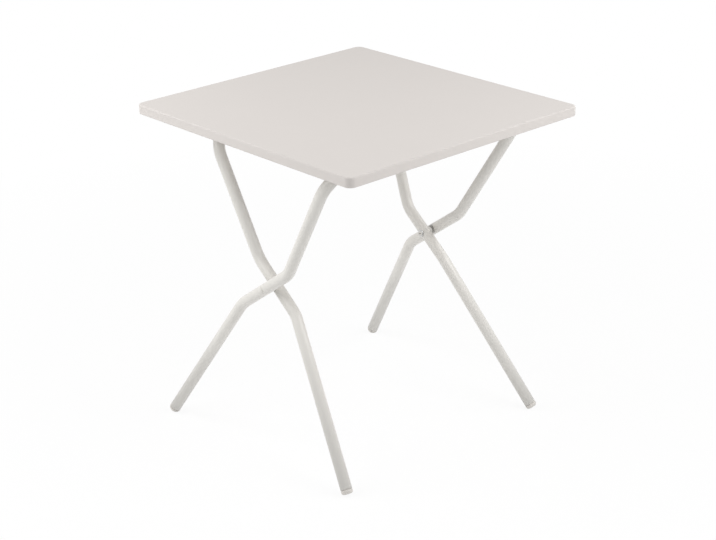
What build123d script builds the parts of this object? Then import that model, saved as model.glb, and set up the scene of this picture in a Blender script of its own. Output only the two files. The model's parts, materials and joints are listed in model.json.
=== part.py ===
from build123d import *
import math
import os

# Folding balcony table. Millimetres, +Z up, origin on the floor below the middle of the tabletop.
# X runs along the two crossbars under the top, Y from the hinged crossbar to the latched one.
# Two U-bent steel tubes cross like scissors. The outer frame's crossbar turns in two bearings
# under the top, and the inner frame's crossbar lies in two hooks that let it go when the top tips.

# Tabletop: a pressed sheet tray with a turned-down rim and a return hem
table_width = 640.0
table_depth = 680.0
table_height = 720.0
sheet_thickness = 1.2
rim_depth = 21.0
top_corner_radius = 16.0
rim_bend_radius = 3.0
hem_width = 9.0

# Two hat-section rails welded under the sheet
rail_x = 130.0
rail_depth = 10.0
rail_web_width = 44.0
rail_side_run = 4.0
rail_flange = 13.0
rail_bend_radius = 2.4
rail_end_gap = 5.0

# Leg tubes
tube_diameter = 25.0
tube_wall = 1.5
bend_radius = 70.0

# Scissor pivot and the middle stretch of each frame, measured along the tube from the pivot
pivot_y = 16.0
pivot_z = 368.0
inner_leg_x = 218.0
inner_middle_angle = 39.5
inner_middle_up = 71.0
inner_middle_down = 78.0
outer_middle_angle = 35.5
outer_middle_up = 96.0
outer_middle_down = 98.0

# Crossbars under the top, each set in from its own end of the top
inner_bar_inset = 153.0
outer_bar_inset = 108.5
inner_corner_x = 244.5
corner_nesting_gap = 3.0

# Feet: both frames spread alike from the pivot, so that closed feet stand side by side
foot_spread = 284.0
inner_foot_x = 280.0
foot_nesting_gap = 1.0

# Foot caps
cap_head_length = 9.5
cap_end_round = 5.5
cap_seam_chamfer = 0.9
cap_flat_depth = 0.6
cap_core_radius = 9.2
cap_stem_length = 20.0
cap_rib_width = 2.0
cap_rib_pitch = 5.5
cap_rib_count = 3
cap_fit = 0.1

# Pivot rivet, with a spacer between the legs and a washer under its rolled tail
spacer_thickness = 6.0
spacer_radius = 8.0
pivot_float = 0.2
rivet_radius = 4.0
rivet_fit = 0.08
rivet_head_radius = 7.0
rivet_head_height = 2.8
rivet_head_edge = 0.6
rivet_tail_radius = 5.6
rivet_tail_height = 2.0
rivet_tail_bevel = 0.9
rivet_bore_radius = 2.2
rivet_bore_depth = 9.0
washer_radius = 7.5
washer_thickness = 1.2
saddle_gap = 0.05

# Bearing of the outer crossbar: a moulded saddle block and a pressed strap
saddle_web = 2.7
bearing_fit = 0.1
block_width = 38.0
block_length = 54.0
block_corner_radius = 5.0
strap_width = 22.0
strap_thickness = 2.0
strap_fillet = 2.5
strap_edge_margin = 6.5

# Hook of the inner crossbar
hook_fit = 0.3
hook_width = 38.0
hook_base = 4.0
hook_wall = 5.0
hook_wrap_angle = 45.0
hook_lip = 14.0
hook_edge_margin = 6.5
hook_fillet = 1.5

# Pan-head screws and the nuts inside the rails
screw_radius = 2.5
screw_head_radius = 4.5
screw_head_height = 3.0
screw_head_bevel = 1.2
screw_socket_radius = 2.3
screw_socket_depth = 1.6
screw_end_past_nut = 0.8
screw_hole_gap = 0.25
screw_head_room = 1.5
nut_radius = 4.6
nut_height = 4.0
nut_fit = 0.05

# Fold: the inner frame closes on the outer one, and the top tips up with it
tip_per_fold = 0.9

# Worked out from the sizes above
inner_bar_y = table_depth / 2 - inner_bar_inset
outer_bar_y = outer_bar_inset - table_depth / 2
tube_radius = tube_diameter / 2
rail_under_z = table_height - sheet_thickness - rail_depth
bearing_radius = tube_radius + bearing_fit
hook_radius = tube_radius + hook_fit
bar_drop = bearing_radius + saddle_web
bar_z = rail_under_z - bar_drop
outer_leg_x = inner_leg_x + tube_diameter + spacer_thickness
outer_corner_x = inner_corner_x + tube_diameter + corner_nesting_gap
outer_foot_x = inner_foot_x + tube_diameter + foot_nesting_gap
screw_hole_radius = screw_radius + screw_hole_gap
bearing_screw_y = bearing_radius + strap_thickness + strap_fillet + screw_head_radius
hook_back_screw_y = hook_radius + hook_wall + screw_head_radius + screw_head_room
hook_front_screw_y = hook_lip + screw_head_radius + screw_head_room
overrun = tube_diameter

# Way out of the hook, seen from the top: the first step of the fold
release_y = pivot_z - bar_z
release_z = (inner_bar_y - pivot_y) - tip_per_fold * (inner_bar_y - outer_bar_y)
release_angle = math.degrees(math.atan2(release_z, release_y))

os.makedirs("parts", exist_ok=True)


def save(part, name):
    """Label one finished piece and write it as the node of that name."""
    part.label = name
    export_step(part, "parts/" + name + ".step")
    print(name, "solids", len(part.solids()), "volume", round(part.volume))


# Corner points of a leg on the +X side: crossbar corner, two knees, and where the axis meets the floor
def along(length, angle, x):
    """Point on a middle stretch, at a signed length from the pivot and a slope in the YZ plane."""
    slope = math.radians(angle)
    return Vector(x, pivot_y + length * math.cos(slope), pivot_z + length * math.sin(slope))


inner_corner = Vector(inner_corner_x, inner_bar_y, bar_z)
inner_upper_knee = along(inner_middle_up, inner_middle_angle, inner_leg_x)
inner_lower_knee = along(-inner_middle_down, inner_middle_angle, inner_leg_x)
inner_ground = Vector(inner_foot_x, pivot_y - foot_spread, 0)
outer_corner = Vector(outer_corner_x, outer_bar_y, bar_z)
outer_upper_knee = along(-outer_middle_up, -outer_middle_angle, outer_leg_x)
outer_lower_knee = along(outer_middle_down, -outer_middle_angle, outer_leg_x)
outer_ground = Vector(outer_foot_x, pivot_y + foot_spread, 0)


def leg_end(lower_knee, ground):
    """End point of the bare tube and the unit direction down the leg."""
    down = (ground - lower_knee).normalized()
    lean = math.acos(-down.Z)
    ring_radius = tube_radius - cap_end_round
    end_height = ring_radius * math.sin(lean) + cap_end_round * (1 - math.cos(lean)) - cap_flat_depth
    to_cap_end = end_height / math.cos(lean)
    return ground - down * (to_cap_end + cap_head_length), down


inner_end, inner_down = leg_end(inner_lower_knee, inner_ground)
outer_end, outer_down = leg_end(outer_lower_knee, outer_ground)


# Leg frames: one tube each, bent six times on the same die, with cross holes for the rivets
def leg_frame(corner, upper_knee, lower_knee, end):
    """U-shaped tube through the four points and their mirror images, drilled at the pivot."""
    right = [corner, upper_knee, lower_knee, end]
    left = [Vector(-point.X, point.Y, point.Z) for point in reversed(right)]
    with BuildPart() as frame:
        with BuildLine() as route:
            FilletPolyline(*left, *right, radius=bend_radius)
        with BuildSketch(Plane(origin=route.line @ 0, z_dir=route.line % 0)):
            Circle(tube_radius)
            Circle(tube_radius - tube_wall, mode=Mode.SUBTRACT)
        sweep()
        with BuildSketch(Plane.YZ):
            with Locations((pivot_y, pivot_z)):
                Circle(rivet_radius + rivet_fit)
        extrude(amount=upper_knee.X + overrun, both=True, mode=Mode.SUBTRACT)
    section = math.pi * (tube_radius ** 2 - (tube_radius - tube_wall) ** 2)
    route_length = sum(edge.length for edge in route.edges())
    print("tube length", round(route_length), "volume share", frame.part.volume / (section * route_length))
    return frame.part


save(leg_frame(inner_corner, inner_upper_knee, inner_lower_knee, inner_end), "inner_leg_frame")
save(leg_frame(outer_corner, outer_upper_knee, outer_lower_knee, outer_end), "outer_leg_frame")


# Foot caps: a rounded head as wide as the tube, a ribbed stem inside it, worn flat on the floor
def foot_cap(side, end, down):
    """Cap for the leg on one side, turned about the leg's axis and cut by the floor."""
    tip = Vector(side * end.X, end.Y, end.Z)
    axis_down = Vector(side * down.X, down.Y, down.Z)
    across = axis_down.cross(Vector(0, 0, 1)).normalized()
    rib_radius = tube_radius - tube_wall - cap_fit
    rib_places = [(rib_radius / 2, -(number + 1 / 2) * cap_rib_pitch) for number in range(cap_rib_count)]
    with BuildPart() as cap:
        with BuildSketch(Plane(origin=tip, x_dir=across, z_dir=across.cross(axis_down))):
            with BuildLine():
                Polyline(
                    (0, cap_head_length),
                    (0, -cap_stem_length),
                    (cap_core_radius, -cap_stem_length),
                    (cap_core_radius, 0),
                    (tube_radius - cap_seam_chamfer, 0),
                    (tube_radius, cap_seam_chamfer),
                    (tube_radius, cap_head_length - cap_end_round),
                )
                RadiusArc(
                    (tube_radius, cap_head_length - cap_end_round),
                    (tube_radius - cap_end_round, cap_head_length),
                    -cap_end_round,
                )
                Line((tube_radius - cap_end_round, cap_head_length), (0, cap_head_length))
            make_face()
            with Locations(*rib_places):
                Rectangle(rib_radius, cap_rib_width)
        revolve(axis=Axis(tip, axis_down))
        split(bisect_by=Plane.XY, keep=Keep.TOP)
    return cap.part


for side_name, side in (("left", -1), ("right", 1)):
    save(foot_cap(side, inner_end, inner_down), "inner_foot_cap_" + side_name)
    save(foot_cap(side, outer_end, outer_down), "outer_foot_cap_" + side_name)


# Pivot hardware, laid out along the pivot axis from the middle of the table outwards
inner_face_in = inner_leg_x - tube_radius
inner_face_out = inner_leg_x + tube_radius
outer_face_in = outer_leg_x - tube_radius
outer_face_out = outer_leg_x + tube_radius
washer_in = inner_face_in - pivot_float - washer_thickness
tail_in = washer_in - rivet_tail_height


def saddle_depth(radius):
    """How far a round face of this radius reaches down the sides of the tube."""
    return tube_radius - math.sqrt(tube_radius ** 2 - radius ** 2)


def outward(side, distance):
    """Plane square to the pivot axis, at a distance from the middle, facing outwards."""
    return Plane(origin=(side * distance, pivot_y, pivot_z), x_dir=(0, 1, 0), z_dir=(side, 0, 0))


def outer_tube_seat(side):
    """Private cylinder that stands for the outer leg's middle stretch, a hair wider than the tube."""
    slope = math.radians(-outer_middle_angle)
    direction = (0, math.cos(slope), math.sin(slope))
    seat = Cylinder(tube_radius + saddle_gap, outer_middle_up, mode=Mode.PRIVATE)
    return Plane(origin=(side * outer_leg_x, pivot_y, pivot_z), z_dir=direction) * seat


def pivot_rivet(side):
    """Domed head pressed to the outer tube, plain shank, and a tail rolled out over the washer."""
    skirt = outer_face_out - saddle_depth(rivet_head_radius)
    edge = outer_face_out + rivet_head_edge
    crown = outer_face_out + rivet_head_height
    rise = crown - edge
    dome_radius = (rivet_head_radius ** 2 + rise ** 2) / (2 * rise)
    half_angle = math.asin(rivet_head_radius / dome_radius) / 2
    half_way = (dome_radius * math.sin(half_angle), crown - dome_radius * (1 - math.cos(half_angle)))
    profile = Plane(origin=(0, pivot_y, pivot_z), x_dir=(0, 0, 1), z_dir=(0, side, 0))
    pivot_axis = Axis((0, pivot_y, pivot_z), (1, 0, 0))
    with BuildPart() as rivet:
        with BuildSketch(profile):
            with BuildLine():
                Polyline((0, crown), (0, skirt), (rivet_head_radius, skirt), (rivet_head_radius, edge))
                ThreePointArc((rivet_head_radius, edge), half_way, (0, crown))
            make_face()
        revolve(axis=pivot_axis)
        add(outer_tube_seat(side), mode=Mode.SUBTRACT)
        with BuildSketch(outward(side, tail_in)):
            Circle(rivet_radius)
        extrude(amount=outer_face_out - tail_in)
        with BuildSketch(outward(side, tail_in)):
            Circle(rivet_tail_radius)
        extrude(amount=rivet_tail_height)
        tail_edges = rivet.edges().filter_by(GeomType.CIRCLE).sort_by(Axis.X)
        tail_end = tail_edges[-1] if side < 0 else tail_edges[0]
        chamfer(tail_end, length=rivet_tail_bevel)
        with BuildSketch(outward(side, tail_in)):
            Circle(rivet_bore_radius)
        extrude(amount=rivet_bore_depth, mode=Mode.SUBTRACT)
    return rivet.part


def pivot_spacer(side):
    """Moulded collar between the legs, saddled to the outer tube and flat towards the inner one."""
    start = inner_face_out + pivot_float
    with BuildPart() as spacer:
        with BuildSketch(outward(side, start)):
            Circle(spacer_radius)
        extrude(amount=outer_face_in + saddle_depth(spacer_radius) - start)
        add(outer_tube_seat(side), mode=Mode.SUBTRACT)
        with BuildSketch(outward(side, start)):
            Circle(rivet_radius + rivet_fit)
        extrude(amount=tube_diameter, mode=Mode.SUBTRACT)
    return spacer.part


def pivot_washer(side):
    """Flat washer between the inner leg and the rivet's tail."""
    with BuildPart() as washer:
        with BuildSketch(outward(side, washer_in)):
            Circle(washer_radius)
            Circle(rivet_radius + rivet_fit, mode=Mode.SUBTRACT)
        extrude(amount=washer_thickness)
    return washer.part


for side_name, side in (("left", -1), ("right", 1)):
    save(pivot_rivet(side), "pivot_rivet_" + side_name)
    save(pivot_spacer(side), "pivot_spacer_" + side_name)
    save(pivot_washer(side), "pivot_washer_" + side_name)


# Tabletop tray: outside drawn first, then the inside a sheet's thickness away, then the hem's opening
inside_width = table_width - 2 * sheet_thickness
inside_depth = table_depth - 2 * sheet_thickness
with BuildPart() as top_tray:
    with BuildSketch(Plane.XY.offset(table_height - rim_depth)):
        RectangleRounded(table_width, table_depth, top_corner_radius)
    extrude(amount=rim_depth)
    fillet(top_tray.faces().sort_by(Axis.Z)[-1].edges(), radius=rim_bend_radius)
with BuildPart() as tray_hollow:
    with BuildSketch(Plane.XY.offset(table_height - rim_depth + sheet_thickness)):
        RectangleRounded(inside_width, inside_depth, top_corner_radius - sheet_thickness)
    extrude(amount=rim_depth - 2 * sheet_thickness)
    fillet(tray_hollow.faces().sort_by(Axis.Z)[-1].edges(), radius=rim_bend_radius - sheet_thickness)
    with BuildSketch(Plane.XY.offset(table_height - rim_depth)):
        RectangleRounded(
            table_width - 2 * hem_width,
            table_depth - 2 * hem_width,
            max(top_corner_radius - hem_width, sheet_thickness),
        )
    extrude(amount=sheet_thickness)
with top_tray:
    add(tray_hollow.part, mode=Mode.SUBTRACT)
save(top_tray.part, "top_tray")


# Rails: hat section along Y, flanges against the sheet, web down, drilled for the screws
def rail_screw_places(side):
    """Centres of the four screws of one rail, in XY."""
    return [
        (side * rail_x, outer_bar_y - bearing_screw_y),
        (side * rail_x, outer_bar_y + bearing_screw_y),
        (side * rail_x, inner_bar_y - hook_front_screw_y),
        (side * rail_x, inner_bar_y + hook_back_screw_y),
    ]


def stiffener_rail(side):
    """One rail, its section bent from a strip of the same sheet."""
    upper = table_height - sheet_thickness - sheet_thickness / 2
    lower = rail_under_z + sheet_thickness / 2
    web_edge = rail_web_width / 2
    foot_edge = web_edge + rail_side_run
    with BuildPart() as rail:
        with BuildSketch(Plane.XZ):
            with BuildLine():
                FilletPolyline(
                    (side * rail_x - foot_edge - rail_flange, upper),
                    (side * rail_x - foot_edge, upper),
                    (side * rail_x - web_edge, lower),
                    (side * rail_x + web_edge, lower),
                    (side * rail_x + foot_edge, upper),
                    (side * rail_x + foot_edge + rail_flange, upper),
                    radius=rail_bend_radius,
                )
            trace(line_width=sheet_thickness)
        extrude(amount=table_depth / 2 - hem_width - rail_end_gap, both=True)
        with BuildSketch(Plane.XY.offset(rail_under_z - sheet_thickness)):
            with Locations(*rail_screw_places(side)):
                Circle(screw_hole_radius)
        extrude(amount=rail_depth, mode=Mode.SUBTRACT)
    return rail.part


for side_name, side in (("left", -1), ("right", 1)):
    save(stiffener_rail(side), "stiffener_rail_" + side_name)


# Bearings: the block fills the space from the bar up to the rail, and the strap closes round below
def bearing_block(side):
    """Moulded saddle on top of the outer crossbar."""
    with BuildPart() as block:
        with BuildSketch(Plane.XY.offset(bar_z)):
            with Locations((side * rail_x, outer_bar_y)):
                RectangleRounded(block_width, block_length, block_corner_radius)
        extrude(amount=bar_drop)
        with BuildSketch(Plane.YZ.offset(side * rail_x)):
            with Locations((outer_bar_y, bar_z)):
                Circle(bearing_radius)
        extrude(amount=block_width, both=True, mode=Mode.SUBTRACT)
        with BuildSketch(Plane.XY.offset(bar_z)):
            with Locations(*rail_screw_places(side)[:2]):
                Circle(screw_hole_radius)
        extrude(amount=bar_drop, mode=Mode.SUBTRACT)
    return block.part


def bearing_strap(side):
    """Pressed strap under the bar, with a drilled ear on each side."""
    ear_reach = bearing_screw_y + strap_edge_margin
    with BuildPart() as strap:
        with BuildSketch(Plane.YZ.offset(side * rail_x)):
            with Locations((outer_bar_y, bar_z)):
                Circle(bearing_radius + strap_thickness)
                Rectangle(2 * ear_reach, strap_thickness, align=(Align.CENTER, Align.MAX))
                Circle(bearing_radius, mode=Mode.SUBTRACT)
                Rectangle(2 * ear_reach, tube_diameter, align=(Align.CENTER, Align.MIN), mode=Mode.SUBTRACT)
        extrude(amount=strap_width / 2, both=True)
        root_height = bar_z - strap_thickness
        inside_bend = [
            edge
            for edge in strap.edges().filter_by(Axis.X)
            if abs(edge.center().Z - root_height) < strap_thickness / 4
            and abs(edge.center().Y - outer_bar_y) < bearing_screw_y
        ]
        fillet(inside_bend, radius=strap_fillet)
        with BuildSketch(Plane.XY.offset(root_height)):
            with Locations(*rail_screw_places(side)[:2]):
                Circle(screw_hole_radius)
        extrude(amount=strap_thickness, mode=Mode.SUBTRACT)
    return strap.part


for side_name, side in (("left", -1), ("right", 1)):
    save(bearing_block(side), "bearing_block_" + side_name)
    save(bearing_strap(side), "bearing_strap_" + side_name)


# Hooks: a back wall and a roof round the inner bar, open the way the bar leaves
def latch_hook(side):
    """Moulded hook with a screwed foot before and behind the bar."""
    front = hook_front_screw_y + hook_edge_margin
    back = hook_back_screw_y + hook_edge_margin
    wall_drop = hook_radius * math.sin(math.radians(hook_wrap_angle))
    with BuildPart() as hook:
        with BuildSketch(Plane.YZ.offset(side * rail_x)):
            with Locations((inner_bar_y - front, bar_z + bar_drop)):
                Rectangle(front + back, hook_base, align=(Align.MIN, Align.MAX))
            with Locations((inner_bar_y - hook_lip, bar_z + bar_drop)):
                Rectangle(
                    hook_lip + hook_radius + hook_wall,
                    bar_drop + wall_drop,
                    align=(Align.MIN, Align.MAX),
                )
            with Locations((inner_bar_y, bar_z)):
                Circle(hook_radius, mode=Mode.SUBTRACT)
                Rectangle(
                    table_depth,
                    2 * hook_radius,
                    rotation=release_angle,
                    align=(Align.MIN, Align.CENTER),
                    mode=Mode.SUBTRACT,
                )
        extrude(amount=hook_width / 2, both=True)
        fillet(hook.edges().filter_by(Axis.X).group_by(Axis.Z)[0], radius=hook_fillet)
        with BuildSketch(Plane.XY.offset(bar_z)):
            with Locations(*rail_screw_places(side)[2:]):
                Circle(screw_hole_radius)
        extrude(amount=bar_drop, mode=Mode.SUBTRACT)
    return hook.part


for side_name, side in (("left", -1), ("right", 1)):
    save(latch_hook(side), "latch_hook_" + side_name)


# Screws point up through a foot or an ear into a nut that lies on the rail's web
nut_z = rail_under_z + sheet_thickness
screw_top_z = nut_z + nut_height + screw_end_past_nut


def screw_set(places, seat_z):
    """Pan-head screws with a hexagon socket, heads below the seat."""
    with BuildPart() as screws:
        with BuildSketch(Plane.XY.offset(seat_z - screw_head_height)):
            with Locations(*places):
                Circle(screw_head_radius)
        extrude(amount=screw_head_height)
        chamfer(screws.edges().group_by(Axis.Z)[0], length=screw_head_bevel)
        with BuildSketch(Plane.XY.offset(seat_z - screw_head_height)):
            with Locations(*places):
                RegularPolygon(screw_socket_radius, 6)
        extrude(amount=screw_socket_depth, mode=Mode.SUBTRACT)
        with BuildSketch(Plane.XY.offset(seat_z)):
            with Locations(*places):
                Circle(screw_radius)
        extrude(amount=screw_top_z - seat_z)
    return screws.part


bearing_places = rail_screw_places(-1)[:2] + rail_screw_places(1)[:2]
hook_places = rail_screw_places(-1)[2:] + rail_screw_places(1)[2:]
save(screw_set(bearing_places, bar_z - strap_thickness), "bearing_screws")
save(screw_set(hook_places, bar_z + bar_drop - hook_base), "hook_screws")

with BuildPart() as rail_nuts:
    with BuildSketch(Plane.XY.offset(nut_z)):
        with Locations(*bearing_places, *hook_places):
            RegularPolygon(nut_radius, 6)
            Circle(screw_radius + nut_fit, mode=Mode.SUBTRACT)
    extrude(amount=nut_height)
save(rail_nuts.part, "rail_nuts")
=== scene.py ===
import json
import math

import bmesh
import bpy
from bpy.props import FloatProperty, FloatVectorProperty, IntProperty, PointerProperty
from mathutils import Color, Matrix, Vector


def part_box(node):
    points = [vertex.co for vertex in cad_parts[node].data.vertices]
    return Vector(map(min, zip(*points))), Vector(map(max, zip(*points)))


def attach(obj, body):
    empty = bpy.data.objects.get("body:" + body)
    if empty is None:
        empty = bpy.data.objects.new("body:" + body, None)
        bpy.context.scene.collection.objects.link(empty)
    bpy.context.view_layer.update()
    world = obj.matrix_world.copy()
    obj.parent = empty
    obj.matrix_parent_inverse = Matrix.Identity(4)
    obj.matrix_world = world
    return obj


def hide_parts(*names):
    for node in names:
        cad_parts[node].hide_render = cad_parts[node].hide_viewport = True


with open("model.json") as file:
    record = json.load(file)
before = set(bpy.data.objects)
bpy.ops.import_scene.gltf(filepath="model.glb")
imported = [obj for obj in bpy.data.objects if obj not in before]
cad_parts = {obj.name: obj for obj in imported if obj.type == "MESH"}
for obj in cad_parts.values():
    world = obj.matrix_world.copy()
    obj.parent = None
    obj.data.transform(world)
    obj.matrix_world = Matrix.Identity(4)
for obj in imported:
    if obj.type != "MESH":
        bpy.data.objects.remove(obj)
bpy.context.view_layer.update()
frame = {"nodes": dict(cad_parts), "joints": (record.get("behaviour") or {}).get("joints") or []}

bl_info = {
    "name": "Folding balcony table",
    "version": (1, 0, 0),
    "blender": (4, 5, 0),
    "location": "3D View > Sidebar > Balcony table",
    "description": "Smooth shells, powder coat and studio for a folding table on crossed tube legs",
    "category": "Object",
}

# Metres, +Z up, the packed model's own frame. The CAD box is measured before anything is added to it.
SIDES = (("left", -1), ("right", 1))
JOINTS = {joint["name"]: joint for joint in frame["joints"]}
PIVOT = Vector(JOINTS["leg_fold"]["pos_m"])
UP = Vector((0, 0, 1))
MILLIMETRE = 0.001

# Points of new meshes and of copied CAD meshes are merged within these, and heights within the last are one.
NEW_MERGE = MILLIMETRE / 1000
CAD_MERGE = MILLIMETRE / 100
SAME_HEIGHT = MILLIMETRE / 100

# Angles between faces: drawn as a sharp edge, folded in the tray, rounded on a fitting, dissolved as flat.
SHARP_ANGLE = math.radians(35)
FOLD_ANGLE = math.radians(45)
EASE_ANGLE = math.radians(40)
FLAT_ANGLE = math.radians(1)

# Faces along rounded forms, and round the welds and the floor.
CORNER_FACES = 14
RIM_FACES = 6
HEM_FACES = 4
RAIL_FACES = 6
EASE_FACES = 2
WELD_FACES = 20
FLOOR_FACES = 64

# A weld's pressed ring as shares of its radius and height, its dimple's height, and its place on the flange.
WELD_RING = ((0.9, 0.7), (0.78, 1), (0.66, 0.7), (0.5, 0.25))
WELD_DIMPLE = 0.15
WELD_ON_FLANGE = 0.45

# Nearly all of a noise lies between these values.
NOISE_SPREAD = (0.3, 0.7)

# How the finishes vary: factors of the colour's lightness, and steps from the middle roughness.
COAT_CLOUDS, COAT_SPECKLE, COAT_GLOSS = (0.994, 1.004), (0.985, 1.01), (-0.015, 0.02)
PLASTIC_CLOUDS, PLASTIC_GLOSS, WORN_GLOSS = (0.975, 1.015), (-0.06, 0.06), (-0.06, 0.08)
ZINC_PATCHES, ZINC_GLOSS = (0.9, 1.04), (-0.08, 0.12)

# How strongly the bumps shade, and the refraction under the coat and of the plastics.
COAT_BUMP, PLASTIC_BUMP, ZINC_BUMP = 0.6, 0.7, 0.4
COAT_IOR, PLASTIC_IOR = 1.52, 1.46

# Width of the camera's sensor in millimetres.
SENSOR_WIDTH = 36.0


def distance(name, description, default):
    """A size in metres."""
    return FloatProperty(
        name=name, description=description, default=default, min=0, precision=5, unit="LENGTH"
    )


def angle(name, description, degrees):
    """An angle, given in degrees and kept in radians."""
    return FloatProperty(
        name=name, description=description, default=math.radians(degrees), unit="ROTATION"
    )


def share(name, description, default):
    """A plain factor from nothing to one."""
    return FloatProperty(
        name=name, description=description, default=default, min=0, max=1, subtype="FACTOR"
    )


def power(name, description, default):
    """The power of a lamp in watts."""
    return FloatProperty(name=name, description=description, default=default, min=0, unit="POWER")


def paint(name, description, default):
    """A colour as a screen shows it."""
    return FloatVectorProperty(
        name=name, description=description, default=default, size=3, min=0, max=1, subtype="COLOR_GAMMA"
    )


class TABLE_PG_sheet(bpy.types.PropertyGroup):
    """Sizes of the pressed top and of the rails under it."""

    thickness: distance("Sheet", "Thickness of the steel sheet", 0.0012)
    corner_radius: distance("Corner", "Radius of the top's corners, seen from above", 0.016)
    rim_bend: distance("Rim bend", "Outside radius where the top turns down into its rim", 0.003)
    hem_bend: distance("Hem bend", "Outside radius where the rim turns in to its hem", 0.0018)
    hem_width: distance("Hem", "Width of the return under the rim", 0.009)
    rail_web: distance("Rail web", "Width of the rail's flat bottom", 0.044)
    rail_run: distance("Rail side run", "Sideways run of each sloping side of the rail", 0.004)
    rail_bend: distance("Rail bend", "Middle radius of the rail's bends", 0.0024)
    weld_pitch: distance("Weld pitch", "Distance between the spot welds of a rail", 0.124)
    weld_radius: distance("Weld", "Radius of a spot weld's mark", 0.0031)
    weld_height: distance("Weld height", "How far a spot weld's ring stands proud", 0.00022)


class TABLE_PG_tube(bpy.types.PropertyGroup):
    """Sizes of the two bent tubes, as the bender is set."""

    radius: distance("Tube radius", "Outside radius of the tube", 0.0125)
    wall: distance("Wall", "Thickness of the tube's wall", 0.0015)
    bend_radius: distance("Bend radius", "Middle radius of every bend", 0.07)
    sides: IntProperty(name="Sides", description="Faces round the tube", default=56, min=8)
    bend_step: angle("Bend step", "Turn between two rings of a bend", 2.5)
    inner_x: distance("Inner leg", "Inner leg's distance from the middle at the pivot", 0.218)
    inner_slope: angle("Inner slope", "Slope of the inner leg's middle stretch", 39.5)
    inner_up: distance("Inner rise", "Pivot to the inner leg's upper knee", 0.071)
    inner_down: distance("Inner fall", "Pivot to the inner leg's lower knee", 0.078)
    inner_corner_x: distance("Inner corner", "Inner crossbar's corner from the middle", 0.2445)
    inner_foot_x: distance("Inner foot", "Inner foot's distance from the middle on the floor", 0.28)
    outer_x: distance("Outer leg", "Outer leg's distance from the middle at the pivot", 0.249)
    outer_slope: angle("Outer slope", "Slope of the outer leg's middle stretch", 35.5)
    outer_up: distance("Outer rise", "Pivot to the outer leg's upper knee", 0.096)
    outer_down: distance("Outer fall", "Pivot to the outer leg's lower knee", 0.098)
    outer_corner_x: distance("Outer corner", "Outer crossbar's corner from the middle", 0.2725)
    outer_foot_x: distance("Outer foot", "Outer foot's distance from the middle on the floor", 0.306)
    foot_spread: distance("Foot spread", "Pivot to each foot on the floor, lengthwise", 0.284)


class TABLE_PG_cap(bpy.types.PropertyGroup):
    """Sizes of the foot caps."""

    head: distance("Head", "Length of the cap's head past the tube", 0.0095)
    end_round: distance("End round", "Radius of the head's rounded end", 0.0055)
    seam_width: distance("Seam width", "Gap between the tube's end and the cap's head", 0.0014)
    seam_depth: distance("Seam depth", "Depth of that gap", 0.0015)
    seam_ease: distance("Seam edge", "Rounding of the head's edge at the gap", 0.0003)
    worn: distance("Worn flat", "How much the floor has flattened the rounded end", 0.0006)
    stem: distance("Stem", "Length of the stem inside the tube", 0.02)
    stem_radius: distance("Stem radius", "Radius of the stem between its ribs", 0.0092)
    rib_radius: distance("Rib radius", "Radius of the ribs that grip the tube", 0.0109)
    rib_width: distance("Rib width", "Width of each rib", 0.002)
    rib_pitch: distance("Rib pitch", "Distance from one rib to the next", 0.0055)
    ribs: IntProperty(name="Ribs", description="Number of ribs on the stem", default=3, min=0)
    arc_steps: IntProperty(name="Arc steps", description="Faces along the rounded end", default=8, min=2)
    spin_steps: IntProperty(name="Spin steps", description="Faces round the cap", default=56, min=8)


class TABLE_PG_spacer(bpy.types.PropertyGroup):
    """Sizes of the flanged spacers between the legs."""

    flange: distance("Flange", "Thickness of the flange proud of the inner leg", 0.0022)
    flange_ease: distance("Flange edge", "Rounding of the flange's rim", 0.0004)
    neck_radius: distance("Neck", "Radius of the neck that meets the outer leg", 0.005)
    bore_radius: distance("Bore", "Radius of the bore for the rivet", 0.004)
    steps: IntProperty(name="Steps", description="Faces round the spacer", default=48, min=8)


class TABLE_PG_finish(bpy.types.PropertyGroup):
    """Colours and surface of the finishes."""

    # Sheet and tubes carry one powder coat. The two colours differ as painted light: the tube coat is set
    # lighter, standing in for light that the legs get too little of.
    sheet_coat: paint("Sheet coat", "Powder coat on the top and its rails", (0.838, 0.817, 0.801))
    tube_coat: paint("Tube coat", "Powder coat on the leg tubes and rivets", (0.882, 0.872, 0.851))
    cap: paint("Caps", "Plastic of the foot caps", (0.84, 0.825, 0.805))
    nylon: paint("Spacers", "Natural white nylon of the pivot spacers", (0.935, 0.93, 0.915))
    fitting: paint("Fittings", "Plastic of the blocks and hooks", (0.79, 0.775, 0.765))
    zinc: paint("Zinc", "Plated straps, screws, washers and nuts", (0.83, 0.835, 0.84))
    sheet_roughness: share("Sheet roughness", "Middle roughness of the top's powder coat", 0.66)
    tube_roughness: share("Tube roughness", "Middle roughness of the tubes' powder coat", 0.32)
    plastic_roughness: share("Plastic roughness", "Middle roughness of the plastics", 0.52)
    zinc_roughness: share("Zinc roughness", "Middle roughness of the plating", 0.34)
    peel_size: distance("Orange peel", "Size of the powder coat's orange peel", 0.0014)
    peel_height: distance("Peel height", "Height of the orange peel", 0.000012)
    grain_size: distance("Mould grain", "Size of the grain on moulded plastic", 0.0007)
    grain_height: distance("Grain height", "Height of the mould grain", 0.00002)
    cloud_size: distance("Cloud", "Size of the faint patches in the powder coat", 0.12)
    ease: distance("Moulded edge", "Rounding of the moulded and pressed edges", 0.0005)
    # The foot caps are drawn darker towards the floor, up to this height, keeping this share of their
    # lightness at the floor.
    floor_darkening_height: distance("Scuff", "Height up to which the floor has greyed the foot caps", 0.0035)
    floor_darkening_light: share("Scuff light", "Lightness that a cap keeps where it meets the floor", 0.82)
    # Painted shade round the pivots: the tube coat is darkened in a ring where the crossed legs shade each
    # other in the gap between them.
    painted_shade_radius: distance("Rub", "Radius of the rubbed ring where a leg turns on its spacer", 0.0095)
    painted_shade_fade: distance("Rub fade", "Width over which the rubbed ring fades out", 0.003)
    painted_shade_depth: share("Rub shade", "Share of its lightness that the rubbed ring loses", 0.5)


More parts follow.
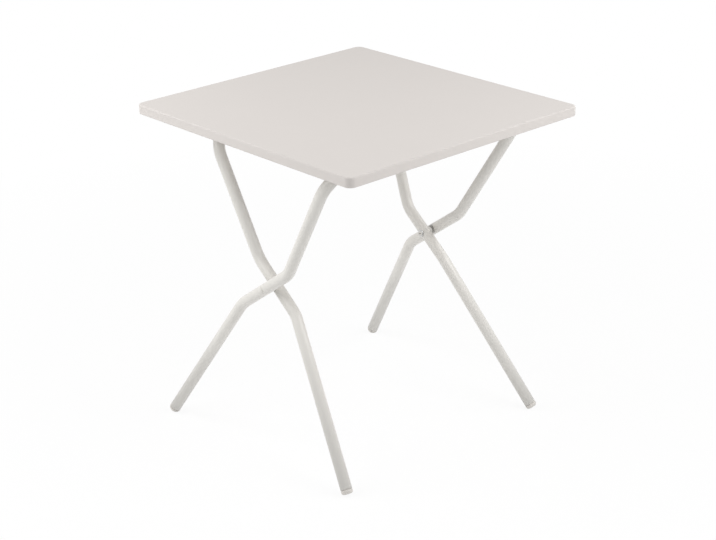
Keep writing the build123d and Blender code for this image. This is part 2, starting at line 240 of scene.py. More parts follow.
class TABLE_PG_studio(bpy.types.PropertyGroup):
    """Camera, lamps and floor."""

    aim: FloatVectorProperty(
        name="Aim", description="Point that the camera looks at", default=(-0.0266, -0.0279, 0.3591),
        unit="LENGTH", subtype="TRANSLATION",
    )
    camera_distance: distance("Camera distance", "From the aim to the camera", 3.7)
    azimuth: angle("Azimuth", "Turn of the view from straight along +Y", 41.66)
    elevation: angle("Elevation", "Height of the camera above the level of its aim", 22.63)
    roll: angle("Roll", "Lean of the camera about its view", -1.273)
    lens: FloatProperty(
        name="Lens", description="Focal length on a 36 mm wide sensor", default=86.07, min=1, unit="CAMERA"
    )
    floor_radius: distance("Floor", "Radius of the studio floor", 9.0)
    floor_colour: paint("Floor colour", "Matt white of the floor", (0.97, 0.97, 0.97))
    floor_glow: share("Floor glow", "How white the camera sees the floor by the table", 0.9)
    fade_start: distance("Fade start", "Where the floor starts to fade to plain white", 0.5)
    fade_end: distance("Fade end", "Where the floor has faded to plain white", 2.0)
    ambient: share("Ambient", "Light from the white room all round", 0.4)
    front_size: distance("Front size", "Width of each front softbox", 1.5)
    rear_size: distance("Rear size", "Width of each rear softbox", 0.85)
    lamp_reach: distance("Lamp reach", "From the aim to each softbox", 2.6)
    front_height: angle("Front height", "Height of the front softboxes above the level of the aim", 36)
    rear_height: angle("Rear height", "Height of the rear softboxes above the level of the aim", 38)
    front_turn: angle("Front turn", "Turn of the front softboxes from the camera's bearing", 65)
    rear_turn: angle("Rear turn", "Turn of the rear softboxes from the camera's bearing", 104)
    front_left: power("Front left", "Power of the front softbox on the left", 21.7)
    front_right: power("Front right", "Power of the front softbox on the right", 28.6)
    rear_left: power("Rear left", "Power of the rear softbox on the left", 18.2)
    rear_right: power("Rear right", "Power of the rear softbox on the right", 9.4)


# Helpers for meshes

def finish_mesh(name, bm, material, body):
    """Turns a bmesh into a smooth piece of the object that rides on a body."""
    bmesh.ops.recalc_face_normals(bm, faces=bm.faces[:])
    mesh = bpy.data.meshes.new(name)
    bm.to_mesh(mesh)
    bm.free()
    mesh.materials.append(material)
    mesh.shade_smooth()
    mesh.set_sharp_from_angle(angle=SHARP_ANGLE)
    piece = bpy.data.objects.new(name, mesh)
    bpy.context.scene.collection.objects.link(piece)
    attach(piece, body)
    return piece


def thicken(piece, thickness, offset):
    """Gives an open shell its wall."""
    wall = piece.modifiers.new("wall", "SOLIDIFY")
    wall.thickness = thickness
    wall.offset = offset
    wall.use_even_offset = True


def weigh_normals(piece):
    """Keeps the large flat faces flat beside their rounded edges."""
    normals = piece.modifiers.new("normals", "WEIGHTED_NORMAL")
    normals.keep_sharp = True


def edges_of(geometry):
    """The edges among what a mesh operator returns."""
    return [element for element in geometry if isinstance(element, bmesh.types.BMEdge)]


def verts_of(geometry):
    """The points among what a mesh operator returns."""
    return [element for element in geometry if isinstance(element, bmesh.types.BMVert)]


def feed(bm, edges, step):
    """Draws a loop of edges out by one step and gives the new loop."""
    drawn = bmesh.ops.extrude_edge_only(bm, edges=edges)["geom"]
    bmesh.ops.translate(bm, verts=verts_of(drawn), vec=step)
    return edges_of(drawn)


def spun(points, steps):
    """A closed solid of revolution about Z through points given as radius and height."""
    bm = bmesh.new()
    corners = [bm.verts.new((radius, 0, height)) for radius, height in points]
    profile = [bm.edges.new(pair) for pair in zip(corners, corners[1:])]
    bmesh.ops.spin(
        bm, geom=corners + profile, cent=(0, 0, 0), axis=UP, angle=math.tau, steps=steps,
        use_merge=True, use_duplicate=False,
    )
    bmesh.ops.remove_doubles(bm, verts=bm.verts[:], dist=NEW_MERGE)
    return bm


# Materials

def screen_colour(paint_value):
    """Linear colour for a shader from a colour as a screen shows it."""
    return (*Color(paint_value).from_srgb_to_scene_linear(), 1)


def add_node(material, kind, **sockets):
    """A node with its inputs set from values or from other nodes' outputs."""
    node = material.node_tree.nodes.new(kind)
    for name, value in sockets.items():
        socket = node.inputs[name.replace("_", " ")]
        if isinstance(value, bpy.types.NodeSocket):
            material.node_tree.links.new(value, socket)
        else:
            socket.default_value = value
    return node


def noise_between(material, size, low, high, detail=2.0, stretch=(1, 1, 1)):
    """A noise with features of one size on object coordinates, brought between two values."""
    place = add_node(material, "ShaderNodeTexCoord").outputs["Object"]
    mapped = add_node(material, "ShaderNodeMapping", Vector=place, Scale=stretch).outputs["Vector"]
    noise = add_node(material, "ShaderNodeTexNoise", Vector=mapped, Scale=1 / size, Detail=detail)
    spread = add_node(
        material, "ShaderNodeMapRange", Value=noise.outputs["Fac"],
        From_Min=NOISE_SPREAD[0], From_Max=NOISE_SPREAD[1], To_Min=low, To_Max=high,
    )
    return spread.outputs["Result"]


def shaded(material, colour, factor):
    """A colour times a varying factor."""
    mix = material.node_tree.nodes.new("ShaderNodeVectorMath")
    mix.operation = "SCALE"
    mix.inputs[0].default_value = screen_colour(colour)[:3]
    material.node_tree.links.new(factor, mix.inputs["Scale"])
    return mix.outputs["Vector"]


def calculated(material, operation, *values):
    """One step of arithmetic on varying values."""
    node = material.node_tree.nodes.new("ShaderNodeMath")
    node.operation = operation
    for value, socket in zip(values, node.inputs):
        material.node_tree.links.new(value, socket)
    return node.outputs["Value"]


def product(material, first, second):
    """Two varying factors multiplied."""
    return calculated(material, "MULTIPLY", first, second)


def length_of(material, vector):
    """How far a varying point lies from the middle."""
    node = material.node_tree.nodes.new("ShaderNodeVectorMath")
    node.operation = "LENGTH"
    material.node_tree.links.new(vector, node.inputs[0])
    return node.outputs["Value"]


def bumped(material, strength, height, pattern):
    """A surface that a pattern raises by up to a height."""
    bump = add_node(material, "ShaderNodeBump", Strength=strength, Distance=height, Height=pattern)
    return bump.outputs["Normal"]


def gloss_about(material, size, middle, steps, detail):
    """Roughness that wanders about its middle."""
    low, high = (middle + step for step in steps)
    return noise_between(material, size, low, high, detail=detail)


def painted_shade(material):
    """Painted shade: a factor that darkens the coat in a ring round the pivots, only on the sides that face
    the spacers, where the crossed legs shade each other in the gap between them.
    """
    finish = bpy.context.scene.table_finish
    place = add_node(material, "ShaderNodeTexCoord").outputs["Object"]
    from_pivot = add_node(
        material, "ShaderNodeMapping", Vector=place, Location=(0, -PIVOT.y, -PIVOT.z), Scale=(0, 1, 1)
    ).outputs["Vector"]
    blotches = noise_between(material, finish.painted_shade_fade, -finish.painted_shade_fade / 4, finish.painted_shade_fade / 4, detail=3)
    ragged = calculated(material, "ADD", length_of(material, from_pivot), blotches)
    ring = add_node(
        material, "ShaderNodeMapRange", Value=ragged,
        From_Min=finish.painted_shade_radius, From_Max=finish.painted_shade_radius + finish.painted_shade_fade, To_Min=1, To_Max=0,
    ).outputs["Result"]
    across = add_node(material, "ShaderNodeSeparateXYZ", Vector=place).outputs["X"]
    sideways = calculated(material, "ABSOLUTE", across)
    low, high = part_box("pivot_spacer_right")
    for edge, inward in ((low.x, 1), (high.x, -1)):
        facing = add_node(
            material, "ShaderNodeMapRange", Value=sideways,
            From_Min=edge - inward * finish.painted_shade_fade, From_Max=edge, To_Min=0, To_Max=1,
        ).outputs["Result"]
        ring = product(material, ring, facing)
    return add_node(
        material, "ShaderNodeMapRange", Value=ring, To_Min=1, To_Max=1 - finish.painted_shade_depth
    ).outputs["Result"]


def new_material(name):
    """The material of a name, with its shader where it is new and with none where it is finished."""
    material = bpy.data.materials.get(name)
    if material:
        return material, None
    material = bpy.data.materials.new(name)
    material.use_nodes = True
    return material, material.node_tree.nodes["Principled BSDF"]


def wire(material, shader, **sockets):
    """Links varying values to a shader's inputs."""
    for name, value in sockets.items():
        material.node_tree.links.new(value, shader.inputs[name.replace("_", " ")])


def powder_coat(part):
    """Satin powder coat for the sheet or the tubes: orange peel, faint clouds and a fine speckle, and on the
    tubes painted shade round the pivots.
    """
    finish = bpy.context.scene.table_finish
    material, shader = new_material(f"{part}_powder_coat")
    if shader is None:
        return material
    clouds = noise_between(material, finish.cloud_size, *COAT_CLOUDS, detail=2)
    speckle = noise_between(material, finish.peel_size / 2, *COAT_SPECKLE, detail=1)
    peel = noise_between(material, finish.peel_size, 0, 1, detail=3)
    rough = getattr(finish, f"{part}_roughness")
    gloss = gloss_about(material, finish.cloud_size, rough, COAT_GLOSS, detail=2)
    bump = bumped(material, COAT_BUMP, finish.peel_height, peel)
    variation = product(material, clouds, speckle)
    # On the tubes and rivets, painted shade darkens the coat round the pivots.
    if part == "tube":
        variation = product(material, variation, painted_shade(material))
    colour = shaded(material, getattr(finish, f"{part}_coat"), variation)
    wire(material, shader, Base_Color=colour, Roughness=gloss, Normal=bump)
    shader.inputs["IOR"].default_value = COAT_IOR
    return material


def grained(material, shader, colour, gloss_steps):
    """Fine mould grain and uneven gloss under a plastic's colour."""
    finish = bpy.context.scene.table_finish
    grain = noise_between(material, finish.grain_size, 0, 1, detail=2)
    gloss = gloss_about(material, finish.grain_size * 8, finish.plastic_roughness, gloss_steps, detail=3)
    bump = bumped(material, PLASTIC_BUMP, finish.grain_height, grain)
    wire(material, shader, Base_Color=colour, Roughness=gloss, Normal=bump)
    shader.inputs["IOR"].default_value = PLASTIC_IOR


def moulded(name, colour):
    """Moulded plastic with a fine grain and faint flow clouds."""
    finish = bpy.context.scene.table_finish
    material, shader = new_material(name)
    if shader is None:
        return material
    clouds = noise_between(material, finish.cloud_size / 10, *PLASTIC_CLOUDS, detail=3)
    grained(material, shader, shaded(material, colour, clouds), PLASTIC_GLOSS)
    return material


def cap_darker_at_floor():
    """Cap plastic, scuffed in streaks, and a little darker towards where it meets the floor."""
    finish = bpy.context.scene.table_finish
    material, shader = new_material("cap_plastic_worn")
    if shader is None:
        return material
    place = add_node(material, "ShaderNodeTexCoord").outputs["Object"]
    height = add_node(material, "ShaderNodeSeparateXYZ", Vector=place).outputs["Z"]
    near_floor = add_node(
        material, "ShaderNodeMapRange", Value=height,
        From_Min=0, From_Max=finish.floor_darkening_height, To_Min=finish.floor_darkening_light, To_Max=1,
    ).outputs["Result"]
    scuffs = noise_between(material, finish.grain_size * 3, *PLASTIC_CLOUDS, detail=4, stretch=(1, 1, 3))
    colour = shaded(material, finish.cap, product(material, near_floor, scuffs))
    grained(material, shader, colour, WORN_GLOSS)
    return material


def zinc_plate():
    """Bright zinc plating with a faint brushed grain and dull patches."""
    finish = bpy.context.scene.table_finish
    material, shader = new_material("zinc_plate")
    if shader is None:
        return material
    patches = noise_between(material, finish.cloud_size / 20, *ZINC_PATCHES, detail=4)
    gloss = gloss_about(material, finish.grain_size * 5, finish.zinc_roughness, ZINC_GLOSS, detail=4)
    brushed = noise_between(material, finish.grain_size, 0, 1, detail=3, stretch=(0.08, 1, 1))
    bump = bumped(material, ZINC_BUMP, finish.grain_height / 2, brushed)
    wire(material, shader, Base_Color=shaded(material, finish.zinc, patches), Roughness=gloss, Normal=bump)
    shader.inputs["Metallic"].default_value = 1
    return material


def coat_node(name, material):
    """Gives a CAD node its finish."""
    node = frame["nodes"][name]
    node.data.materials.clear()
    node.data.materials.append(material)


# Pieces

def tray_shell(sheet):
    """The pressed top: a rounded plate, its rim drawn down, a hem turned in, and both bends rounded."""
    low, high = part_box("top_tray")
    bm = bmesh.new()
    bmesh.ops.create_grid(bm, x_segments=1, y_segments=1, size=1 / 2)
    bmesh.ops.scale(bm, vec=(high.x - low.x, high.y - low.y, 1), verts=bm.verts[:])
    bmesh.ops.translate(bm, vec=((low.x + high.x) / 2, (low.y + high.y) / 2, high.z), verts=bm.verts[:])
    bmesh.ops.bevel(
        bm, geom=bm.verts[:], offset=sheet.corner_radius, offset_type="OFFSET", segments=CORNER_FACES,
        profile=0.5, affect="VERTICES", material=-1,
    )
    rim = feed(bm, bm.edges[:], Vector((0, 0, low.z - high.z)))
    bottom = bmesh.ops.contextual_create(bm, geom=rim)["faces"]
    bmesh.ops.inset_region(bm, faces=bottom, thickness=sheet.hem_width, use_even_offset=True)
    bmesh.ops.delete(bm, geom=bottom, context="FACES_ONLY")
    folds = ((high.z, sheet.rim_bend, RIM_FACES), (low.z, sheet.hem_bend, HEM_FACES))
    for height, bend, segments in folds:
        ring = [
            edge for edge in bm.edges
            if len(edge.link_faces) == 2
            and all(abs(vert.co.z - height) < SAME_HEIGHT for vert in edge.verts)
            and abs(edge.link_faces[0].normal.angle(edge.link_faces[1].normal)) > FOLD_ANGLE
        ]
        bmesh.ops.bevel(
            bm, geom=ring, offset=bend, offset_type="OFFSET", segments=segments,
            profile=0.5, affect="EDGES", material=-1,
        )
    return bm


class TABLE_OT_top(bpy.types.Operator):
    """Build the pressed top as one bent sheet"""

    bl_idname = "balcony_table.top"
    bl_label = "Pressed top"

    def execute(self, context):
        sheet = context.scene.table_sheet
        piece = finish_mesh("pressed_top", tray_shell(sheet), powder_coat("sheet"), "table_top")
        thicken(piece, sheet.thickness, -1)
        weigh_normals(piece)
        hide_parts("top_tray")
        return {"FINISHED"}


def rail_shell(sheet, low, high):
    """Middle surface of one hat rail, its four bends rounded."""
    middle = (low.x + high.x) / 2
    upper = high.z - sheet.thickness / 2
    lower = low.z + sheet.thickness / 2
    web_edge = sheet.rail_web / 2
    foot_edge = web_edge + sheet.rail_run
    outline = (
        (low.x, upper), (middle - foot_edge, upper), (middle - web_edge, lower),
        (middle + web_edge, lower), (middle + foot_edge, upper), (high.x, upper),
    )
    turn = math.atan2(upper - lower, sheet.rail_run)
    bm = bmesh.new()
    corners = [bm.verts.new((x, low.y, z)) for x, z in outline]
    profile = [bm.edges.new(pair) for pair in zip(corners, corners[1:])]
    feed(bm, profile, Vector((0, high.y - low.y, 0)))
    bends = [edge for edge in bm.edges if len(edge.link_faces) == 2]
    bmesh.ops.bevel(
        bm, geom=bends, offset=sheet.rail_bend * math.tan(turn / 2), offset_type="OFFSET",
        segments=RAIL_FACES, profile=0.5, affect="EDGES", material=-1,
    )
    return bm


class TABLE_OT_rails(bpy.types.Operator):
    """Build the two hat rails under the sheet"""

    bl_idname = "balcony_table.rails"
    bl_label = "Stiffening rails"

    def execute(self, context):
        sheet = context.scene.table_sheet
        for side_name, _ in SIDES:
            node = f"stiffener_rail_{side_name}"
            bm = rail_shell(sheet, *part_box(node))
            piece = finish_mesh(f"hat_rail_{side_name}", bm, powder_coat("sheet"), "table_top")
            thicken(piece, sheet.thickness, 0)
            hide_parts(node)
        return {"FINISHED"}


def weld_mark(sheet):
    """One spot weld's mark: a ring pressed proud round a shallow dimple, closed on the sheet's side."""
    radius, proud = sheet.weld_radius, sheet.weld_height
    inside_sheet = sheet.thickness / 4
    ring = [(radius * out, -proud * up) for out, up in WELD_RING]
    outline = [(0, inside_sheet), (radius, inside_sheet), (radius, 0), *ring, (0, -proud * WELD_DIMPLE)]
    return spun(outline, WELD_FACES)


class TABLE_OT_welds(bpy.types.Operator):
    """Put the spot welds' marks along the rails' flanges"""

    bl_idname = "balcony_table.welds"
    bl_label = "Spot welds"

    def execute(self, context):
        sheet = context.scene.table_sheet
        marks = bmesh.new()
        for side_name, _ in SIDES:
            low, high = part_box(f"stiffener_rail_{side_name}")
            flange = (high.x - low.x - sheet.rail_web) / 2 - sheet.rail_run
            count = int((high.y - low.y) / sheet.weld_pitch) + 1
            first = (low.y + high.y) / 2 - (count - 1) * sheet.weld_pitch / 2
            for x in (low.x + flange * WELD_ON_FLANGE, high.x - flange * WELD_ON_FLANGE):
                for number in range(count):
                    place = Vector((x, first + number * sheet.weld_pitch, high.z - sheet.thickness))
                    mark = weld_mark(sheet)
                    bmesh.ops.translate(mark, vec=place, verts=mark.verts[:])
                    mesh = bpy.data.meshes.new("weld_mark")
                    mark.to_mesh(mesh)
                    mark.free()
                    marks.from_mesh(mesh)
                    bpy.data.meshes.remove(mesh)
        finish_mesh("spot_welds", marks, powder_coat("sheet"), "table_top")
        return {"FINISHED"}


def tube_end(cap, radius, ground, down):
    """Where the bare tube ends, so that the cap's rounded end is worn flat on the floor."""
    lean = down.angle(-UP)
    ring = radius - cap.end_round
    rise = ring * math.sin(lean) + cap.end_round * (1 - math.cos(lean)) - cap.worn
    return ground - down * (rise / math.cos(lean) + cap.head)


def half_route(tube, cap, kind):
    """Corner, knees and end of the right-hand leg of a frame, and the direction down its lowest run."""
    low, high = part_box(f"{kind}_leg_frame")
    tilt = 1 if kind == "inner" else -1
    slope = tilt * getattr(tube, f"{kind}_slope")
    along = Vector((0, math.cos(slope), math.sin(slope)))
    crossing = Vector((getattr(tube, f"{kind}_x"), PIVOT.y, PIVOT.z))
    bar_y = high.y - tube.radius if kind == "inner" else low.y + tube.radius
    corner = Vector((getattr(tube, f"{kind}_corner_x"), bar_y, high.z - tube.radius))
    upper_knee = crossing + along * tilt * getattr(tube, f"{kind}_up")
    lower_knee = crossing - along * tilt * getattr(tube, f"{kind}_down")
    ground = Vector((getattr(tube, f"{kind}_foot_x"), PIVOT.y - tilt * tube.foot_spread, 0))
    down = (ground - lower_knee).normalized()
    return [corner, upper_knee, lower_knee, tube_end(cap, tube.radius, ground, down)], down


def bent_tube(tube, route):
    """Skin of a tube along a route: rings fed along each straight run and spun round each bend."""
    bm = bmesh.new()
    heading = (route[1] - route[0]).normalized()
    start = Matrix.Translation(route[0]) @ heading.to_track_quat("Z", "X").to_matrix().to_4x4()
    bmesh.ops.create_circle(bm, cap_ends=False, segments=tube.sides, radius=tube.radius, matrix=start)
    ring = bm.edges[:]
    place = route[0]
    for before, corner, after in zip(route, route[1:], route[2:]):
        come = (corner - before).normalized()
        leave = (after - corner).normalized()
        turn = come.angle(leave)
        reach = tube.bend_radius * math.tan(turn / 2)
        bend_start = corner - come * reach
        axis = come.cross(leave).normalized()
        centre = bend_start + axis.cross(come) * tube.bend_radius
        ring = feed(bm, ring, bend_start - place)
        verts = list(dict.fromkeys(vert for edge in ring for vert in edge.verts))
        bent = bmesh.ops.spin(
            bm, geom=verts + ring, cent=centre, axis=axis, angle=turn,
            steps=math.ceil(turn / tube.bend_step), use_duplicate=False,
        )
        ring = edges_of(bent["geom_last"])
        place = corner + leave * reach
    feed(bm, ring, route[-1] - place)
    return bm


class TABLE_OT_tubes(bpy.types.Operator):
    """Bend the two leg tubes"""

    bl_idname = "balcony_table.tubes"
    bl_label = "Leg tubes"

    def execute(self, context):
        tube = context.scene.table_tube
        for kind in ("inner", "outer"):
            right, _ = half_route(tube, context.scene.table_cap, kind)
            left = [Vector((-point.x, point.y, point.z)) for point in reversed(right)]
            bm = bent_tube(tube, left + right)
            piece = finish_mesh(f"{kind}_leg_tube", bm, powder_coat("tube"), f"{kind}_frame")
            thicken(piece, tube.wall, -1)
            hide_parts(f"{kind}_leg_frame")
        return {"FINISHED"}


def cap_outline(cap, radius):
    """Half section of a foot cap, from its end on the axis round to the top of its stem."""
    arc = [
        (
            radius - cap.end_round + cap.end_round * math.sin(math.pi / 2 * step / cap.arc_steps),
            -cap.head + cap.end_round - cap.end_round * math.cos(math.pi / 2 * step / cap.arc_steps),
        )
        for step in range(cap.arc_steps + 1)
    ]
    seam = [
        (radius, -cap.seam_width - cap.seam_ease), (radius - cap.seam_ease, -cap.seam_width),
        (radius - cap.seam_depth, -cap.seam_width), (radius - cap.seam_depth, 0), (cap.stem_radius, 0),
    ]
    stem = []
    for number in range(cap.ribs):
        middle = (number + 1 / 2) * cap.rib_pitch
        for height, reach in (
            (middle - cap.rib_width / 2, cap.stem_radius), (middle - cap.rib_width / 2, cap.rib_radius),
            (middle + cap.rib_width / 2, cap.rib_radius), (middle + cap.rib_width / 2, cap.stem_radius),
        ):
            stem.append((reach, height))
    top = [(cap.stem_radius, cap.stem), (0, cap.stem)]
    return [(0, -cap.head)] + arc + seam + stem + top


class TABLE_OT_caps(bpy.types.Operator):
    """Turn the four foot caps and wear their ends flat on the floor"""

    bl_idname = "balcony_table.caps"
    bl_label = "Foot caps"

    def execute(self, context):
        tube, cap = context.scene.table_tube, context.scene.table_cap
        for kind in ("inner", "outer"):
            route, down = half_route(tube, cap, kind)
            for side_name, side in SIDES:
                end = Vector((side * route[-1].x, route[-1].y, route[-1].z))
                upward = -Vector((side * down.x, down.y, down.z))
                place = Matrix.Translation(end) @ upward.to_track_quat("Z", "Y").to_matrix().to_4x4()
                bm = spun(cap_outline(cap, tube.radius), cap.spin_steps)
                bmesh.ops.transform(bm, matrix=place, verts=bm.verts[:])
                cut = bmesh.ops.bisect_plane(
                    bm, geom=bm.verts[:] + bm.edges[:] + bm.faces[:], dist=NEW_MERGE,
                    plane_co=(0, 0, 0), plane_no=UP, clear_inner=True,
                )
                bmesh.ops.contextual_create(bm, geom=edges_of(cut["geom_cut"]))
                name = f"{kind}_cap_{side_name}"
                piece = finish_mesh(name, bm, cap_darker_at_floor(), f"{kind}_frame")
                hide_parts(f"{kind}_foot_cap_{side_name}")
        return {"FINISHED"}


def eased_copy(node, name, ease, material):
    """A CAD node's shape, merged into clean faces, with its sharp edges rounded."""
    bm = bmesh.new()
    bm.from_mesh(frame["nodes"][node].data)
    bmesh.ops.remove_doubles(bm, verts=bm.verts[:], dist=CAD_MERGE)
    bmesh.ops.dissolve_limit(bm, angle_limit=FLAT_ANGLE, verts=bm.verts[:], edges=bm.edges[:])
    sharp = [
        edge for edge in bm.edges
        if len(edge.link_faces) == 2 and edge.calc_face_angle() > EASE_ANGLE
    ]
    bmesh.ops.bevel(
        bm, geom=sharp, offset=ease, offset_type="OFFSET", segments=EASE_FACES, profile=0.5,
        affect="EDGES", clamp_overlap=True, material=-1,
    )
    piece = finish_mesh(name, bm, material, "table_top")
    weigh_normals(piece)
    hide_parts(node)


class TABLE_OT_fittings(bpy.types.Operator):
    """Round the edges of the blocks, hooks and straps under the top"""

    bl_idname = "balcony_table.fittings"
    bl_label = "Blocks, hooks and straps"

    def execute(self, context):
        finish = context.scene.table_finish
        plastic = moulded("fitting_plastic", finish.fitting)
        for side_name, _ in SIDES:
            for part in ("bearing_block", "latch_hook"):
                node = f"{part}_{side_name}"
                eased_copy(node, f"moulded_{node}", finish.ease, plastic)
            node = f"bearing_strap_{side_name}"
            eased_copy(node, f"pressed_{node}", finish.ease / 2, zinc_plate())
        return {"FINISHED"}


class TABLE_OT_spacers(bpy.types.Operator):
    """Turn the flanged spacers that keep the legs apart at the pivots"""

    bl_idname = "balcony_table.spacers"
    bl_label = "Pivot spacers"

    def execute(self, context):
        tube, spacer = context.scene.table_tube, context.scene.table_spacer
        low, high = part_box("pivot_spacer_right")
        radius = (high.z - low.z) / 2
        seat = tube.inner_x + math.sqrt(tube.radius**2 - radius**2)
        rim = tube.inner_x + tube.radius + spacer.flange
        neck_end = tube.outer_x - math.sqrt(tube.radius**2 - spacer.neck_radius**2)
        outline = (
            (spacer.bore_radius, seat), (radius, seat), (radius, rim - spacer.flange_ease),
            (radius - spacer.flange_ease, rim), (spacer.neck_radius, rim),
            (spacer.neck_radius, neck_end), (spacer.bore_radius, neck_end), (spacer.bore_radius, seat),
        )
        nylon = moulded("spacer_nylon", context.scene.table_finish.nylon)
        for side_name, side in SIDES:
            bm = spun(outline, spacer.steps)
            turned = Matrix.Rotation(side * math.pi / 2, 4, "Y")
            place = Matrix.Translation((0, PIVOT.y, PIVOT.z)) @ turned
            bmesh.ops.transform(bm, matrix=place, verts=bm.verts[:])
            piece = finish_mesh(f"nylon_spacer_{side_name}", bm, nylon, "outer_frame")
            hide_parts(f"pivot_spacer_{side_name}")
        return {"FINISHED"}


class TABLE_OT_hardware(bpy.types.Operator):
    """Finish the rivets, washers, screws and nuts"""

    bl_idname = "balcony_table.hardware"
    bl_label = "Rivets and screws"

    def execute(self, context):
        for side_name, _ in SIDES:
            coat_node(f"pivot_rivet_{side_name}", powder_coat("tube"))
            coat_node(f"pivot_washer_{side_name}", zinc_plate())
        for name in ("bearing_screws", "hook_screws", "rail_nuts"):
            coat_node(name, zinc_plate())
        return {"FINISHED"}


# Studio

def seen_directly(material):
    """One where the camera, a reflection or clear glass looks, and nothing for scattered light."""
    path = add_node(material, "ShaderNodeLightPath").outputs
    total = path["Is Camera Ray"]
    for name in ("Is Glossy Ray", "Is Transmission Ray"):
        total = calculated(material, "MAXIMUM", total, path[name])
    return total


def mixed(material, factor, first, second):
    """Two shaders mixed by a factor."""
    mix = material.node_tree.nodes.new("ShaderNodeMixShader")
    material.node_tree.links.new(factor, mix.inputs["Fac"])
    material.node_tree.links.new(first, mix.inputs[1])
    material.node_tree.links.new(second, mix.inputs[2])
    return mix.outputs["Shader"]


def floor_finish(studio):
    """Matt white floor that keeps a faint shadow, looks white to the camera and vanishes from below."""
    material = bpy.data.materials.new("studio_floor")
    material.use_nodes = True
    tree = material.node_tree
    tree.nodes.remove(tree.nodes["Principled BSDF"])
    white = screen_colour(studio.floor_colour)
    matt = add_node(material, "ShaderNodeBsdfDiffuse", Color=white).outputs["BSDF"]
    glow = add_node(material, "ShaderNodeEmission", Color=(1, 1, 1, 1), Strength=1).outputs["Emission"]
    clear = add_node(material, "ShaderNodeBsdfTransparent").outputs["BSDF"]
    place = add_node(material, "ShaderNodeTexCoord").outputs["Object"]
    whiter = add_node(
        material, "ShaderNodeMapRange", Value=length_of(material, place),
        From_Min=studio.fade_start, From_Max=studio.fade_end, To_Min=studio.floor_glow, To_Max=1,
    ).outputs["Result"]
    front = mixed(material, product(material, seen_directly(material), whiter), matt, glow)
    behind = add_node(material, "ShaderNodeNewGeometry").outputs["Backfacing"]
    tree.links.new(mixed(material, behind, front, clear), tree.nodes["Material Output"].inputs["Surface"])
    return material


def build_floor(studio):
    """A round floor far wider than the view."""
    bm = bmesh.new()
    bmesh.ops.create_circle(bm, cap_ends=True, segments=FLOOR_FACES, radius=studio.floor_radius)
    mesh = bpy.data.meshes.new("studio_floor")
    bm.to_mesh(mesh)
    bm.free()
    mesh.materials.append(floor_finish(studio))
    floor = bpy.data.objects.new("studio_floor", mesh)
    bpy.context.scene.collection.objects.link(floor)


def build_room(studio):
    """White all round for the camera, and plain even light for the rest."""
    world = bpy.data.worlds.new("white_room")
    world.use_nodes = True
    tree = world.node_tree
    tree.nodes.clear()
    even = add_node(world, "ShaderNodeBackground", Color=(1, 1, 1, 1), Strength=studio.ambient)
    white = add_node(world, "ShaderNodeBackground", Color=(1, 1, 1, 1), Strength=1)
    output = tree.nodes.new("ShaderNodeOutputWorld")
    surface = mixed(world, seen_directly(world), even.outputs["Background"], white.outputs["Background"])
    tree.links.new(surface, output.inputs["Surface"])
    bpy.context.scene.world = world


def softbox(studio, name, bearing, height, size, watts):
    """A soft lamp on a bearing from the aim and above its level, turned to it."""
    lamp = bpy.data.lights.new(name, "AREA")
    lamp.shape = "SQUARE"
    lamp.size = size
    lamp.energy = watts
    away = Vector((
        math.sin(bearing) * math.cos(height), math.cos(bearing) * math.cos(height), math.sin(height),
    ))
    light = bpy.data.objects.new(name, lamp)
    light.location = Vector(studio.aim) + away * studio.lamp_reach
    light.rotation_mode = "QUATERNION"
    light.rotation_quaternion = away.to_track_quat("Z", "Y")
    light.visible_camera = False
    bpy.context.scene.collection.objects.link(light)


def build_lamps(studio):
    """Two pairs of softboxes, in front of and behind the table, turned from the camera's bearing."""
    camera_bearing = studio.azimuth + math.pi
    for row in ("front", "rear"):
        turn, height, size = (getattr(studio, f"{row}_{key}") for key in ("turn", "height", "size"))
        for side_name, side in SIDES:
            watts = getattr(studio, f"{row}_{side_name}")
            softbox(studio, f"{row}_{side_name}_softbox", camera_bearing - side * turn, height, size, watts)


def build_camera(studio):
    """Camera at the photograph's place."""
    data = bpy.data.cameras.new("camera")
    data.sensor_width = SENSOR_WIDTH
    data.lens = studio.lens
    ahead = Vector((
        math.sin(studio.azimuth) * math.cos(studio.elevation),
        math.cos(studio.azimuth) * math.cos(studio.elevation),
        -math.sin(studio.elevation),
    ))
    camera = bpy.data.objects.new("camera", data)
    camera.location = Vector(studio.aim) - ahead * studio.camera_distance
    turned = ahead.to_track_quat("-Z", "Y").to_matrix() @ Matrix.Rotation(studio.roll, 3, "Z")
    camera.rotation_mode = "QUATERNION"
    camera.rotation_quaternion = turned.to_quaternion()
    bpy.context.scene.collection.objects.link(camera)
    bpy.context.scene.camera = camera


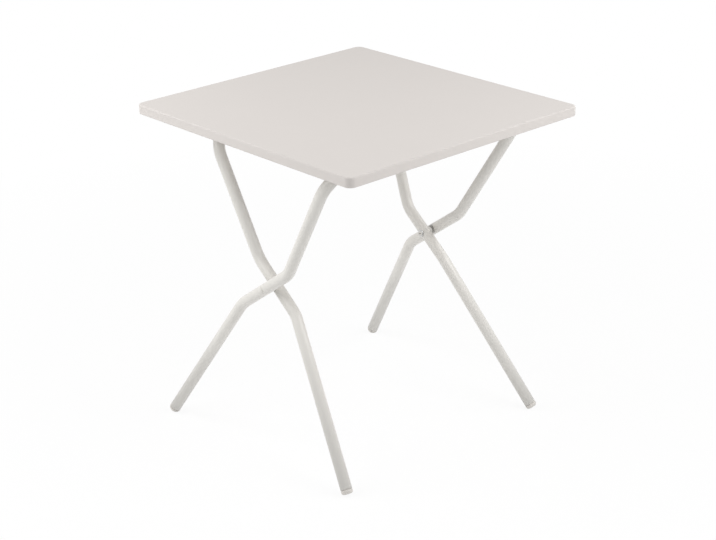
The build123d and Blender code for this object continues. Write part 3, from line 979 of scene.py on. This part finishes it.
class TABLE_OT_studio(bpy.types.Operator):
    """Set up the floor, the white room, the lamps and the camera"""

    bl_idname = "balcony_table.studio"
    bl_label = "Studio"

    def execute(self, context):
        studio = context.scene.table_studio
        context.scene.view_settings.view_transform = "Standard"
        build_camera(studio)
        build_floor(studio)
        build_room(studio)
        build_lamps(studio)
        return {"FINISHED"}


OPERATORS = (
    TABLE_OT_studio, TABLE_OT_top, TABLE_OT_rails, TABLE_OT_welds,
    TABLE_OT_tubes, TABLE_OT_caps, TABLE_OT_fittings, TABLE_OT_spacers, TABLE_OT_hardware,
)
GROUPS = {
    "table_sheet": TABLE_PG_sheet,
    "table_tube": TABLE_PG_tube,
    "table_cap": TABLE_PG_cap,
    "table_spacer": TABLE_PG_spacer,
    "table_finish": TABLE_PG_finish,
    "table_studio": TABLE_PG_studio,
}


class VIEW3D_PT_balcony_table(bpy.types.Panel):
    """Lists the steps that dress the table"""

    bl_label = "Balcony table"
    bl_space_type = "VIEW_3D"
    bl_region_type = "UI"
    bl_category = "Balcony table"

    def draw(self, context):
        column = self.layout.column(align=True)
        for operator in OPERATORS:
            column.operator(operator.bl_idname)
        for name, group in GROUPS.items():
            box = self.layout.box()
            box.label(text=group.__doc__)
            for key in group.__annotations__:
                box.prop(getattr(context.scene, name), key)


def register():
    for group in GROUPS.values():
        bpy.utils.register_class(group)
    for operator in OPERATORS:
        bpy.utils.register_class(operator)
    bpy.utils.register_class(VIEW3D_PT_balcony_table)
    for name, group in GROUPS.items():
        setattr(bpy.types.Scene, name, PointerProperty(type=group))


def unregister():
    for name in GROUPS:
        delattr(bpy.types.Scene, name)
    bpy.utils.unregister_class(VIEW3D_PT_balcony_table)
    for operator in reversed(OPERATORS):
        bpy.utils.unregister_class(operator)
    for group in reversed(GROUPS.values()):
        bpy.utils.unregister_class(group)


def main():
    register()
    bpy.ops.balcony_table.studio()
    bpy.ops.balcony_table.top()
    bpy.ops.balcony_table.rails()
    bpy.ops.balcony_table.welds()
    bpy.ops.balcony_table.tubes()
    bpy.ops.balcony_table.caps()
    bpy.ops.balcony_table.fittings()
    bpy.ops.balcony_table.spacers()
    bpy.ops.balcony_table.hardware()


if __name__ == "__main__":
    main()
